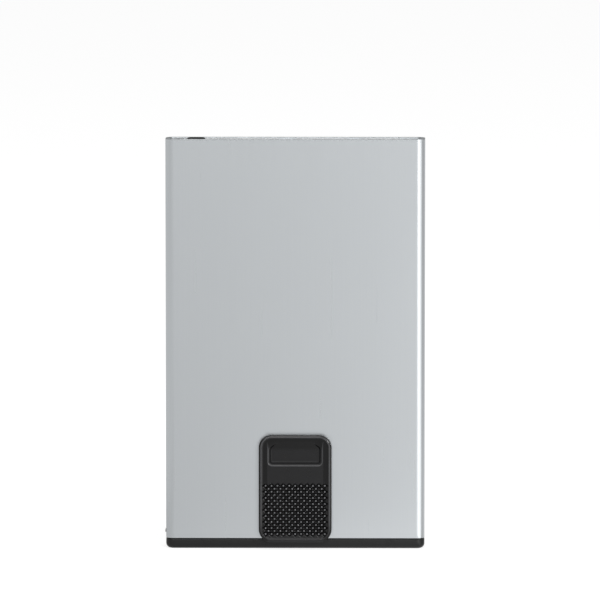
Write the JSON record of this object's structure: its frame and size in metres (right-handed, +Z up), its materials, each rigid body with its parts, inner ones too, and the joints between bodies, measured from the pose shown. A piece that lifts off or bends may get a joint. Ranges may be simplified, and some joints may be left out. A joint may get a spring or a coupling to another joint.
{
  "type": "pop up card holder",
  "caption": "Slim upright metal sleeve for bank cards; pushing the thumb slider up its face lifts the cards out in a stepped fan.",
  "frame": {"origin": "middle of the sleeve's section, at the flat underside of the end cap", "axes": "+Z up along the holder from the end cap to the mouth, -Y out of the face with the thumb slider, +X to the right seen from that face"},
  "size_m": [0.0642, 0.01, 0.1016],
  "materials": {
    "satin_aluminium": "satin anodised, fine vertical grain",
    "cap_plastic": "fine moulded satin",
    "slider_plastic": "semi-gloss moulded, studded grip",
    "spring_steel": "rolled sheet",
    "screw_steel": "turned",
    "black_foam": "closed-cell foam",
    "black_rubber": "matt",
    "black_felt": "pressed felt",
    "acetal": "smooth",
    "slip_film": "smooth film"
  },
  "bodies": {
    "case": {"outer_sleeve": "satin_aluminium", "bottom_cap": "cap_plastic", "card_cradle": "cap_plastic", "left_guide_rail": "cap_plastic", "right_guide_rail": "cap_plastic", "card_spring": "spring_steel", "card_brake_pad": "black_foam", "left_felt_strip": "black_felt", "right_felt_strip": "black_felt", "stop_pad": "black_rubber"},
    "slide": {"thumb_slider": "slider_plastic", "slip_film": "slip_film", "slide_plate": "spring_steel", "left_runner": "acetal", "right_runner": "acetal", "pusher_block": "cap_plastic", "brake_leaf": "spring_steel", "slider_screws": "screw_steel"}
  },
  "joints": [
    {"name": "slider_slide", "type": "slide", "parent": "case", "child": "slide", "axis": [0, 0, 1], "range_m": [0, 0.017]}
  ]
}
